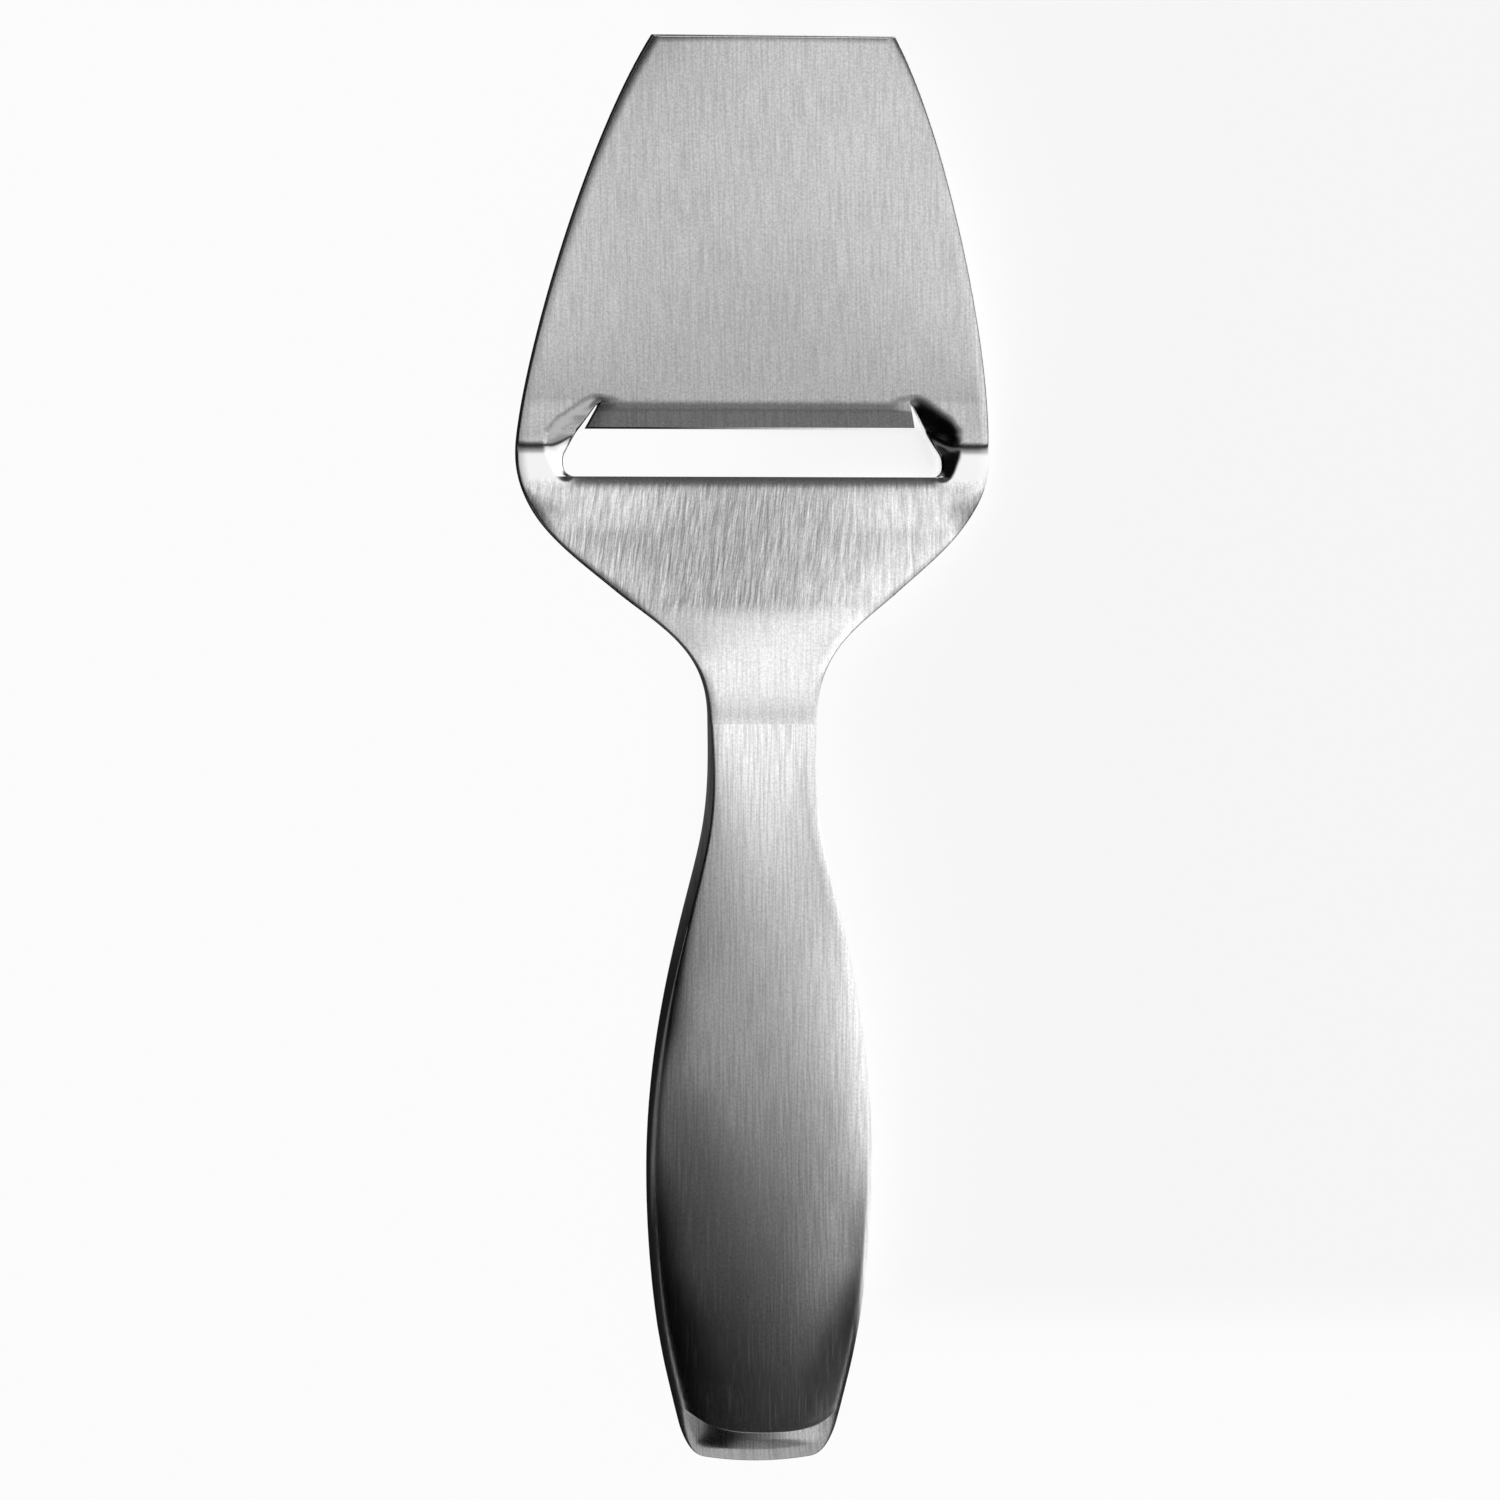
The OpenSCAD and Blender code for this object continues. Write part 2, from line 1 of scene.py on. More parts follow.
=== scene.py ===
import bisect
import bmesh
import bpy
import math
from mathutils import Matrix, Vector


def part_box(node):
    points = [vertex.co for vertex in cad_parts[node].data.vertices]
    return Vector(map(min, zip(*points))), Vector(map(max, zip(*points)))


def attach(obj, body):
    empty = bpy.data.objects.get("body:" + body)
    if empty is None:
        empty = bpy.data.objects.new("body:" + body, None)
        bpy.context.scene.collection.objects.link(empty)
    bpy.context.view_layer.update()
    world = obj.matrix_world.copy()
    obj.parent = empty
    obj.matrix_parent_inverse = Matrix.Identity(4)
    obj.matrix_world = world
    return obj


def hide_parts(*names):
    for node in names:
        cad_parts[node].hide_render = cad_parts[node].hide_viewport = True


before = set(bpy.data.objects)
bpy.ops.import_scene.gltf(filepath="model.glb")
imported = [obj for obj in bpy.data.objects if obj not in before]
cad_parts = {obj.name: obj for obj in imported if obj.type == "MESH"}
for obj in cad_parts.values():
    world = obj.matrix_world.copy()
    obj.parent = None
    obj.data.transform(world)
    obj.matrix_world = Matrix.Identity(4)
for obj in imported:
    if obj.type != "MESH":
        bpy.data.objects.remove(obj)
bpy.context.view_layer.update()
print("frame loaded", list(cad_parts))

mm = 0.001
near = 0.01 * mm  # closer than this counts as the same place
tiny = 1e-12  # no step at all
curveSteps = 80
bladeLow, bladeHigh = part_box("blade_plate")
shellLow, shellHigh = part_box("handle_top_shell")
yTip = bladeHigh.y
yTang = bladeLow.y
yJoint = shellHigh.y
yEnd = shellLow.y

# Outline of the whole slicer from above, one side: widths are whole, places are along the length
outline = {
    "tipWidth": 44 * mm,
    "tipFlare": math.radians(31),
    "headWidth": 85.8 * mm,
    "headAhead": 3.7 * mm,  # widest place, ahead of the slot's rear edge
    "frontLength": 64.1 * mm,
    "lipReach": 4.7 * mm,
    "slotGap": 8.4 * mm,
    "shoulderWidth": 52 * mm,
    "shoulderBack": 19.8 * mm,
    "shoulderAngle": math.radians(50),
    "neckWidth": 19.2 * mm,
    "throatAngle": math.radians(3),  # the neck still draws in at the joint
    "neckStraight": 1.7 * mm,
    "gripWidth": 30.6 * mm,
    "gripBack": 40.3 * mm,
    "gripAngle": math.radians(13.5),
    "bellyWidth": 40.4 * mm,
    "bellyBack": 78.3 * mm,
    "endWidth": 25.2 * mm,
    "endAngle": math.radians(16.7),
    "headPull": (0.245, 0.218),  # how long each curve keeps its direction at its two ends
    "turnPull": (0.468, 0.31),
    "neckPull": (0.36, 0.545),
    "throatPull": (0.45, 0.5),
    "swellPull": (0.316, 0.368),
    "tailPull": (0.392, 0.275),
}
yBend = yTip - outline["frontLength"]
yCut = yBend - outline["lipReach"]
yRear = yCut - outline["slotGap"]


def bezier(points, t):
    a, b, c, d = points
    s = 1 - t
    return a * s**3 + 3 * b * s * s * t + 3 * c * s * t * t + d * t**3


def sidePoints(o):
    tip = Vector((o["tipWidth"] / 2, yTip))
    wide = Vector((o["headWidth"] / 2, yRear + o["headAhead"]))
    shoulder = Vector((o["shoulderWidth"] / 2, yRear - o["shoulderBack"]))
    draw = Vector((math.tan(o["throatAngle"]), 1))
    joint = Vector((o["neckWidth"] / 2, yJoint))
    neck = joint + draw * o["neckStraight"]
    grip = Vector((o["gripWidth"] / 2, yJoint - o["gripBack"]))
    belly = Vector((o["bellyWidth"] / 2, yJoint - o["bellyBack"]))
    end = Vector((o["endWidth"] / 2, yEnd))
    flare = Vector((math.tan(o["tipFlare"]), -1))
    slope = Vector((math.sin(o["shoulderAngle"]), math.cos(o["shoulderAngle"])))
    spread = Vector((math.tan(o["gripAngle"]), -1))
    close = Vector((math.tan(o["endAngle"]), 1))
    ahead = Vector((0, 1))
    head = tip.y - wide.y
    turn = wide.y - shoulder.y
    throat = o["gripBack"]
    swell = grip.y - belly.y
    tail = belly.y - end.y
    curves = [
        (tip, tip + flare * o["headPull"][0] * head, wide + ahead * o["headPull"][1] * head, wide),
        (wide, wide - ahead * o["turnPull"][0] * turn,
         shoulder + slope * o["turnPull"][1] * (wide - shoulder).length, shoulder),
        (shoulder, shoulder - slope * o["neckPull"][0] * (shoulder - neck).length,
         neck + draw * o["neckPull"][1] * (shoulder.y - neck.y), neck),
        (joint, joint - draw * o["throatPull"][0] * throat,
         grip - spread * o["throatPull"][1] * throat, grip),
        (grip, grip + spread * o["swellPull"][0] * swell, belly + ahead * o["swellPull"][1] * swell, belly),
        (belly, belly - ahead * o["tailPull"][0] * tail, end + close * o["tailPull"][1] * tail, end),
    ]
    points = [bezier(c, i / curveSteps) for c in curves for i in range(curveSteps + 1)]
    return sorted((p.y, p.x) for p in points)


def lookup(table, at):
    i = min(max(bisect.bisect_left(table, (at,)), 1), len(table) - 1)
    (a, p), (b, q) = table[i - 1], table[i]
    if b - a < tiny:
        return q
    return p + (q - p) * min(max((at - a) / (b - a), 0), 1)


sides = sidePoints(outline)


def halfWidth(y):
    return min(lookup(sides, y), bladeHigh.x)


def sideLean(y):  # cosine of the angle between the side and the length
    step = 0.2 * mm
    return 1 / math.sqrt(1 + ((halfWidth(y + step) - halfWidth(y - step)) / (2 * step)) ** 2)


# Side profile: the two plates meet in a crease beside the slot, and the neck levels out into the handle
profile = {
    "frontAngle": math.radians(12),
    "frontCrown": 0.3 * mm,  # the front plate is very slightly domed
    "rearAngle": math.radians(12),
    "facetAngle": math.radians(5.5),
    "creaseAhead": 5.2 * mm,
    "creaseLength": 3.2 * mm,
    "facetBehind": 1.1 * mm,
    "facetBend": 2 * mm,
    "neckBendAhead": 11.7 * mm,
    "neckBend": 20 * mm,
    "sheet": 1.8 * mm,
    "neckThickness": 3.2 * mm,
    "neckTaper": 18 * mm,
    "taperPower": 2.4,
    "lipAngle": math.radians(38),
    "lipBend": 2 * mm,
    "handleThickness": 13 * mm,
    "thickestBack": 95 * mm,
    "endThickness": 12.2 * mm,
    "endRadius": 5 * mm,
    "endFold": 0.22,  # how far the end starts with a crisp fold instead of a round
    "swellAngle": math.radians(6),
    "swellPull": (0.25, 0.55),
}
frontRise = math.tan(profile["frontAngle"])
rearRise = math.tan(profile["rearAngle"])
facetRise = math.tan(profile["facetAngle"])
crownRise = math.pi * profile["frontCrown"] / outline["frontLength"]
lipFall = math.tan(profile["lipAngle"]) - frontRise
yCrease = yRear + profile["creaseAhead"]
yFacet = yRear - profile["facetBehind"]
yNeckBend = yJoint + profile["neckBendAhead"]
yRound = yEnd + profile["endRadius"]
yThick = yJoint - profile["thickestBack"]


def blend(a, b, t):
    return a + (b - a) * t


def clamp(t):
    return min(max(t, 0), 1)


def smooth(t):
    t = clamp(t)
    return t * t * (3 - 2 * t)


def ramp(y, at, length):  # its slope goes from 0 to 1 over the length
    t = min(max(y - at + length / 2, 0), length)
    return t * t / (2 * length) + max(0, y - at - length / 2)


def swellPoints(p):
    front = Vector((yJoint, p["neckThickness"] / 2))
    back = Vector((yThick, p["handleThickness"] / 2))
    reach = p["thickestBack"]
    first, second = p["swellPull"]
    curve = (front, front + Vector((-1, math.tan(p["swellAngle"]))) * first * reach,
             Vector((yJoint - second * reach, back.y)), back)
    points = [tuple(bezier(curve, i / curveSteps)) for i in range(curveSteps + 1)]
    count = curveSteps // 2
    for i in range(1, count + 1):
        t = i / count
        fall = (p["endThickness"] - p["handleThickness"]) / 2 * t * t
        points.append((blend(yThick, yRound, t), back.y + fall))
    return sorted(points)


def lipZ(q, start):  # height of the lip's middle, q behind its bend, which is at the height start
    bend = profile["lipBend"]
    lead = crownRise * q * (1 - q / outline["lipReach"])
    return start - frontRise * q - lead - lipFall * ramp(q, bend / 2, bend)


swell = swellPoints(profile)
zBend = profile["sheet"] / 2 / math.cos(profile["lipAngle"]) - lipZ(outline["lipReach"], 0)
zCrease = zBend - frontRise * (yBend - yCrease)
zNeck = zCrease + facetRise * (yCrease - yFacet) + rearRise * (yFacet - yNeckBend)
handleSlope = min((zNeck - h) / (yNeckBend - y) for y, h in swell)


def midZ(y):
    p = profile
    return (zNeck + handleSlope * (y - yNeckBend)
            - (rearRise + handleSlope) * ramp(y, yNeckBend, p["neckBend"])
            + (rearRise - facetRise) * ramp(y, yFacet, p["facetBend"])
            + (facetRise + frontRise) * ramp(y, yCrease, p["creaseLength"]))


def upright(rise, thickness):  # half of a sloping sheet's thickness, measured upright
    return thickness / 2 * math.sqrt(1 + rise * rise)


# Small helpers for modelling by hand
def selectVerts(piece, test):
    mesh = bmesh.from_edit_mesh(piece.data)
    for v in mesh.verts:
        v.select_set(False)
    for v in mesh.verts:
        if test(v.co):
            v.select_set(True)
    mesh.select_flush_mode()
    bmesh.update_edit_mesh(piece.data)


def startGrid(name, columns, rows):
    bpy.ops.object.select_all(action="DESELECT")
    bpy.ops.mesh.primitive_grid_add(x_subdivisions=columns, y_subdivisions=rows, size=1)
    piece = bpy.context.object
    piece.name = name
    piece.data.name = name
    return piece


def addModifier(piece, name, kind, **settings):
    modifier = piece.modifiers.new(name, kind)
    for key, value in settings.items():
        setattr(modifier, key, value)
    bpy.ops.object.modifier_apply(modifier=name)


def arcSteps(radius, count):  # distances from an edge that suit a rounding of that radius
    return [radius * (1 - math.cos(math.pi / 2 * i / count)) for i in range(count + 1)]


# Blade plate: half of the sheet is laid out as a grid, cut, mirrored, thickened and rounded
plate = {
    "frontRows": 30,
    "slotRows": 24,
    "cornerRows": 6,
    "rearRows": 70,
    "lipColumns": 16,
    "flatColumns": 26,
    "edgeSteps": 9,
    "roundSteps": 2,
    "lipBendSteps": 8,
    "tipBand": 1.5 * mm,  # the rows lie closer at the tip and ahead of the lip's bend
    "bendBand": 8 * mm,
    "bendStep": 0.5 * mm,
    "fineSpan": 6 * mm,  # where less metal is left beside the slot, its columns lie closer
    "fineInset": 0.6 * mm,
    "edgeRoom": 1.1,
    "slitWidth": 0.8 * mm,
    "slitBend": 2.5 * mm,
    "slotWidth": 68.6 * mm,
    "slotEnd": 3.5 * mm,
    "slotCorner": 1.8 * mm,
    "slotRound": 0.3 * mm,
    "rollReach": 2.1 * mm,  # the slot's rear edge is rolled down
    "rollFall": 0.45 * mm,
    "rollFade": 2 * mm,
    "lipRoot": 56 * mm,
    "lipEdge": 59.6 * mm,
    "lipSlack": 0.1 * mm,
    "lipSideRound": 0.3 * mm,
    "lipBevel": 1.6 * mm,
    "lipLastStep": 0.3 * mm,
    "lipEdgeThickness": 0.25 * mm,
    "dishSlope": 0.36,
    # reach of the dish from the slot, by the distance ahead of the slot's rear edge, both in mm
    "dishReach": [(-2.2, 0), (-0.8, 1), (0, 1.8), (1, 2.4), (4.5, 3.8), (8, 5.8), (10, 5.3),
                  (11.5, 4.4), (13.1, 3), (15.5, 0.4), (17, 0)],
    "dishFold": 0.4 * mm,  # the dish starts crisply behind the crease and softly ahead of it
    "dishSoft": 2.8 * mm,
    "softenLength": 4 * mm,
    "creaseSweep": 3.2 * mm,  # the crease bends forward towards the slits and gets crisper
    "sweepPast": 2.5 * mm,
    "sweepReach": 5.5 * mm,
    "sweepStart": 2 * mm,
    "sweepFade": 5 * mm,
    "sweptLength": 0.7 * mm,
    "camber": 1.2 * mm,  # fall of the rear plate's sides
    "camberStart": 10 * mm,
    "camberClear": 9 * mm,
    "camberEnd": 14 * mm,
    "frontCamber": 0.5 * mm,
    "frontCamberRate": 1.6,
    "edgeReach": 1.8 * mm,  # the sides fall gently and end in a small round
    "edgeFall": 0.14 * mm,
    "edgeRound": 0.2 * mm,
    "tipRound": 0.5 * mm,
    "underRound": 0.5 * mm,
    "underLow": 0.1 * mm,  # the pressed ends clear the table
    "tangWidth": 13.8 * mm,
    "tangThickness": 1.4 * mm,
    "pressedDepth": 0.15 * mm,  # metal pressed down this far has lost its brushing
    "pressedFade": 1 * mm,
    "pressedBeside": 2 * mm,
}
slitTop = Vector((plate["lipRoot"] / 2 + plate["slitWidth"], yBend - plate["slitWidth"]))
slitFoot = Vector((plate["slotWidth"] / 2, yRear + plate["slotEnd"]))
slotHeel = Vector((plate["slotWidth"] / 2, yRear))


def slotSide(y):  # half width of the slot, with its slanted slits and round corners
    wide = plate["slotWidth"] / 2
    slant = (slitFoot.x - slitTop.x) / (slitTop.y - slitFoot.y)
    corner = plate["slotCorner"]
    if y < yRear + corner:
        return wide - corner + math.sqrt(max(0, corner**2 - (yRear + corner - y) ** 2))
    lean = math.atan(slant)
    bend = plate["slitBend"]
    drop = y - (slitFoot.y - bend * math.tan(lean / 2))
    if drop <= 0:
        return wide
    if drop < bend * math.sin(lean):
        return wide - bend + math.sqrt(bend**2 - drop**2)
    return wide - slant * (y - slitFoot.y)


def slotEdgePoints():
    count = curveSteps // 2
    places = [blend(slitTop.y, yRear, i / count) for i in range(count + 1)]
    return [Vector((slotSide(y), y)) for y in places]


slotEdge = slotEdgePoints()


def gapTo(p, a, b):
    t = clamp((p - a).dot(b - a) / (b - a).length_squared)
    return (p - a.lerp(b, t)).length


def plateRows():
    p = plate
    frontStart = yTip - p["tipBand"]
    bendStart = yBend + p["bendBand"]
    rearStart = yRear - p["rollReach"]
    corner = p["slotCorner"]
    rows = [yTip - d for d in arcSteps(p["tipRound"], p["edgeSteps"])]
    rows += [blend(frontStart, bendStart, i / p["frontRows"]) for i in range(p["frontRows"] + 1)]
    rows += [bendStart - p["bendStep"] * i for i in range(1, round(p["bendBand"] / p["bendStep"]) + 1)]
    top = len(rows) - 1
    rows += [blend(slitTop.y, yRear + corner, i / p["slotRows"]) for i in range(p["slotRows"])]
    turns = [math.radians(90 * i / p["cornerRows"]) for i in range(p["cornerRows"] + 1)]
    rows += [yRear + corner * (1 - math.sin(turn)) for turn in turns]
    bottom = len(rows) - 1
    rows += [yRear - d for d in arcSteps(p["rollReach"], p["edgeSteps"])[1:]]
    rows += [blend(rearStart, yJoint, i / p["rearRows"]) for i in range(1, p["rearRows"] + 1)]
    return rows, top, bottom


def plateColumns(inner, outer, lean):  # places across a row, from the middle to the side
    p = plate
    span = outer - inner
    fine = min(1, span / p["fineSpan"])
    edge = [d / lean for d in arcSteps(p["edgeReach"], p["edgeSteps"])]
    low = p["fineInset"] * fine
    high = span - p["edgeRoom"] * edge[-1]
    across = [inner * i / p["lipColumns"] for i in range(p["lipColumns"])]
    across += [inner + d * fine for d in arcSteps(p["slotRound"], p["roundSteps"])]
    across += [inner + blend(low, high, i / (p["flatColumns"] - 1)) for i in range(p["flatColumns"])]
    across += [outer - d for d in reversed(edge)]
    return across


def dish(x, y):  # the metal round the slot's ends is pressed down
    p = plate
    here = Vector((abs(x), y))
    gap = min(gapTo(here, slitTop, slitFoot), gapTo(here, slitFoot, slotHeel))
    soft = blend(p["dishFold"], p["dishSoft"], smooth((y - yCrease) / p["softenLength"]))
    reach = lookup(p["dishReach"], (y - yRear) / mm) * mm
    share = smooth((slotHeel.x + p["sweepPast"] - abs(x)) / p["sweepReach"])
    swept = p["creaseSweep"] * share * smooth((yBend - p["sweepStart"] - y) / p["sweepFade"])
    length = profile["creaseLength"]
    crisp = blend(length, p["sweptLength"], share)
    fall = ramp(y, yCrease, length) - ramp(y, yCrease + swept, crisp)
    return p["dishSlope"] * ramp(reach - gap, soft / 2, soft) + (facetRise + frontRise) * fall


def camber(x, y):  # the rear plate falls a little towards its sides
    p = plate
    fade = smooth((yRear - y) / p["camberStart"]) * smooth((y - yJoint - p["camberClear"]) / p["camberEnd"])
    return p["camber"] * fade * (x / halfWidth(y)) ** 2


def crown(x, y):  # the front plate is domed, with sides that fall a little
    p = plate
    t = clamp((y - yBend) / (yTip - yBend))
    fall = p["frontCamber"] * smooth(t * p["frontCamberRate"]) * (x / halfWidth(y)) ** 2
    return profile["frontCrown"] * math.sin(math.pi * t) - fall


def roundOff(radius, inside):  # fall of a rounded edge, inside from the edge
    e = clamp(1 - inside / radius) * radius
    return radius - math.sqrt(max(0, radius * radius - e * e))


def edgeDrop(inside):  # fall of the upper face near its side
    p = plate
    return p["edgeFall"] * clamp(1 - inside / p["edgeReach"]) ** 2 + roundOff(p["edgeRound"], inside)


def lipHalf(q):  # half width of the lip, q behind its bend
    return blend(plate["lipRoot"], plate["lipEdge"], q / outline["lipReach"]) / 2


def onLip(x, y):
    q = yBend - y
    return near < q < outline["lipReach"] + near and abs(x) < lipHalf(q) + plate["lipSlack"]


def lipHeight(x, y, up):
    p = plate
    q = yBend - y
    bend = profile["lipBend"]
    half = upright(frontRise + lipFall * clamp(q / bend), profile["sheet"])
    if up and q > outline["lipReach"] - near:
        return lipZ(q, zBend) - half + p["lipEdgeThickness"]
    settled = smooth(q / bend)
    middle = lipZ(q, zBend) - dish(x, yBend) * (1 - settled)  # the lip's root follows the dish beside it
    if not up:
        return middle - half
    side = roundOff(p["lipSideRound"], lipHalf(q) - abs(x)) * settled
    return middle + (upright(frontRise, profile["sheet"]) - side)


def plateHeight(x, y, up):
    if onLip(x, y):
        return lipHeight(x, y, up)
    p = plate
    step = 0.05 * mm
    rise = (midZ(y + step) - midZ(y - step)) / (2 * step)
    taper = profile["neckTaper"]
    share = clamp((yJoint + taper - y) / taper) ** profile["taperPower"]
    half = upright(rise, blend(profile["sheet"], profile["neckThickness"], share))
    middle = midZ(y) + crown(x, y) - dish(x, y) - camber(x, y)
    inside = (halfWidth(y) - abs(x)) * sideLean(y)
    fall = max(edgeDrop(inside), roundOff(p["tipRound"], yTip - y))
    if not up:
        fall = blend(roundOff(p["underRound"], min(inside, yTip - y)), fall, share)
        return max(middle + fall - half, p["underLow"])
    if yRear < y < yBend:
        here = Vector((abs(x), y))
        slot = min(gapTo(here, a, b) for a, b in zip(slotEdge, slotEdge[1:]))
        fall = max(fall, roundOff(p["slotRound"], slot))
    if y < yRear + near:
        along = clamp((slotHeel.x - abs(x)) / p["rollFade"])
        fall = max(fall, along * p["rollFall"] * clamp(1 - (yRear - y) / p["rollReach"]) ** 2)
    return middle + half - fall


def makePlate():
    p = plate
    rows, top, bottom = plateRows()
    columns = len(plateColumns(1, 2, 1)) - 1
    piece = startGrid("bladePlate", columns, len(rows) - 1)
    lipShare = p["lipRoot"] / 2 / halfWidth(yBend)
    rearShare = slotSide(yRear) / halfWidth(yRear)
    places = []
    for i, y in enumerate(rows):
        outer = halfWidth(y)
        inner = slotSide(y) if top < i <= bottom else outer * (lipShare if i <= top else rearShare)
        places.append(plateColumns(inner, outer, sideLean(y)))
    for v in piece.data.vertices:
        i = round((0.5 - v.co.y) * (len(rows) - 1))
        j = round((v.co.x + 0.5) * columns)
        v.co = (places[i][j], rows[i], 0)
    print("sheet laid out", len(rows), "rows")

    # the slot is cut out and the lip drawn from its front edge
    bpy.ops.object.mode_set(mode="EDIT")
    bpy.ops.mesh.select_mode(type="FACE")
    mesh = bmesh.from_edit_mesh(piece.data)
    for f in mesh.faces:
        i = len(rows) - 2 - f.index // columns  # the grid's faces are counted from its rear
        f.select_set(top <= i < bottom and f.index % columns < p["lipColumns"])
    bmesh.update_edit_mesh(piece.data)
    bpy.ops.mesh.delete(type="FACE")
    bpy.ops.mesh.select_mode(type="VERT")
    selectVerts(piece, lambda co: abs(co.y - yBend) < near and co.x < p["lipRoot"] / 2 + near)
    reach = outline["lipReach"]
    bend = profile["lipBend"]
    steps = [bend * i / p["lipBendSteps"] for i in range(1, p["lipBendSteps"] + 1)]
    steps += [reach - p["lipBevel"], reach - p["lipLastStep"], reach]
    last = 0
    for q in steps:
        bpy.ops.mesh.extrude_region_move(TRANSFORM_OT_translate={"value": (0, last - q, 0)})
        bpy.ops.transform.resize(value=(lipHalf(q) / lipHalf(last), 1, 1), center_override=(0, 0, 0))
        last = q
    bpy.ops.object.mode_set(mode="OBJECT")
    addModifier(piece, "mirror", "MIRROR", merge_threshold=near)
    print("slot and lip cut")

    # the sheet is thickened downwards, and both faces take their heights
    bpy.ops.object.mode_set(mode="EDIT")
    bpy.ops.mesh.select_all(action="SELECT")
    bpy.ops.mesh.extrude_region_move(TRANSFORM_OT_translate={"value": (0, 0, -profile["sheet"])})
    mesh = bmesh.from_edit_mesh(piece.data)
    for v in mesh.verts:
        v.co.z = plateHeight(v.co.x, v.co.y, not v.select)
    bmesh.update_edit_mesh(piece.data)
    print("plate shaped")

    # the tang runs on from the end of the neck
    bpy.ops.mesh.select_mode(type="FACE")
    mesh = bmesh.from_edit_mesh(piece.data)
    for f in mesh.faces:
        f.select_set(all(abs(v.co.y - yJoint) < near for v in f.verts))
    bmesh.update_edit_mesh(piece.data)
    bpy.ops.mesh.extrude_region_move(TRANSFORM_OT_translate={"value": (0, 0, 0)})
    slim = (p["tangWidth"] / outline["neckWidth"], 1, p["tangThickness"] / profile["neckThickness"])
    bpy.ops.transform.resize(value=slim, center_override=(0, yJoint, midZ(yJoint)))
    along = (0, yTang - yJoint, midZ(yTang) - midZ(yJoint))
    bpy.ops.mesh.extrude_region_move(TRANSFORM_OT_translate={"value": along})
    bpy.ops.mesh.select_mode(type="VERT")
    bpy.ops.mesh.select_all(action="SELECT")
    bpy.ops.mesh.normals_make_consistent(inside=False)
    bpy.ops.object.mode_set(mode="OBJECT")
    return piece


# Handle: two half shells, each a sheet wrapped round the section and thickened inwards
shell = {
    "wall": 0.8 * mm,
    "columns": 96,
    "wallColumns": 12,  # of each half, up to the edge of the face
    "fineSteps": 160,
    "bodyRows": 110,
    "endRows": 24,
    "mergeGap": 0.001 * mm,
    "endCorner": 3 * mm,
    "endBulge": 1.3 * mm,
    "bulgeLength": 24 * mm,
    "foldRise": 4 * mm,  # the end's fold runs up at its corners and is softer there
    "foldLength": 14 * mm,
    "foldGap": 0.05 * mm,
    "foldSoft": 0.8 * mm,
    "foldUnder": 0.24 * mm,
    "jointSquare": 8,
    "faceSquare": 2.3,
    "edgeSquare": 2.6,
    "crownSlope": 0.24,  # near the neck the face is only gently crowned
    "crownLength": 60 * mm,
    "plainLength": 30 * mm,  # behind this the section turns into a full oval
    "turnLength": 36 * mm,
}


def sectionHeight(t, wide, high, back):  # height of the upper face at a share of the half width
    s = shell
    bow = s["crownSlope"] * smooth(back / s["crownLength"]) * wide * t * t / 2
    flat = high - min(edgeDrop(wide * (1 - t)) + bow, high)
    crowned = blend(s["jointSquare"], s["faceSquare"], smooth(back / outline["gripBack"]))
    edged = blend(s["jointSquare"], s["edgeSquare"], smooth(back / profile["thickestBack"]))
    full = high * max(0, 1 - t**crowned) ** (1 / edged)
    return blend(flat, full, smooth((back - s["plainLength"]) / s["turnLength"]))


def sectionPoints(wide, high, back):  # from the right side over to the left, one column on each edge
    s = shell
    points = [Vector((wide, 0))]
    for i in range(s["fineSteps"] + 1):
        t = math.cos(math.pi / 2 * i / s["fineSteps"])
        points.append(Vector((wide * t, sectionHeight(t, wide, high, back))))
    lengths = [0]
    for a, b in zip(points, points[1:]):
        lengths.append(lengths[-1] + (b - a).length)
    wall = s["wallColumns"]
    face = s["columns"] // 2 - wall
    corner = lookup([(-p.x, reach) for p, reach in zip(points, lengths)], plate["edgeRound"] - wide)
    places = [corner * i / wall for i in range(wall)]
    places += [blend(corner, lengths[-1], i / face) for i in range(face + 1)]
    xs = list(zip(lengths, (p.x for p in points)))
    zs = list(zip(lengths, (p.y for p in points)))
    right = [(lookup(xs, place), lookup(zs, place)) for place in places]
    return right + [(-x, z) for x, z in reversed(right[:-1])]


def shellSections():
    s = shell
    radius = profile["endRadius"]
    body, ends = s["bodyRows"], s["endRows"]
    rows = [(blend(yJoint, yRound + s["foldGap"], i / body), 0) for i in range(body + 1)]
    turns = [0, s["foldGap"] / radius] + [math.pi / 2 * i / ends for i in range(1, ends + 1)]
    rows += [(yRound - radius * math.sin(turn), turn) for turn in turns]
    softRows = {body: s["foldSoft"], body + 2: -s["foldUnder"]}  # the rows next to the fold
    sections = []
    for i, (y, turn) in enumerate(rows):
        soft = softRows.get(i, 0)
        cut = roundOff(s["endCorner"], y - yEnd)
        high = lookup(swell, y) * blend(math.cos(turn), 1 - math.sin(turn), profile["endFold"])
        bulge = s["endBulge"] * clamp((yEnd + s["bulgeLength"] - y) / s["bulgeLength"])
        rise = s["foldRise"] * smooth((y - yEnd) / radius)
        rise *= smooth((yRound + s["foldLength"] - y) / s["foldLength"])
        wide = halfWidth(y) - cut
        section = []
        for x, z in sectionPoints(wide, high, yJoint - y):
            ahead = y + rise * (x / wide) ** 4 + soft * (x / wide) ** 2
            x *= halfWidth(ahead) / halfWidth(y)
            section.append((x, ahead + bulge * (2 * x / outline["endWidth"]) ** 2, z))
        sections.append(section)
    return sections


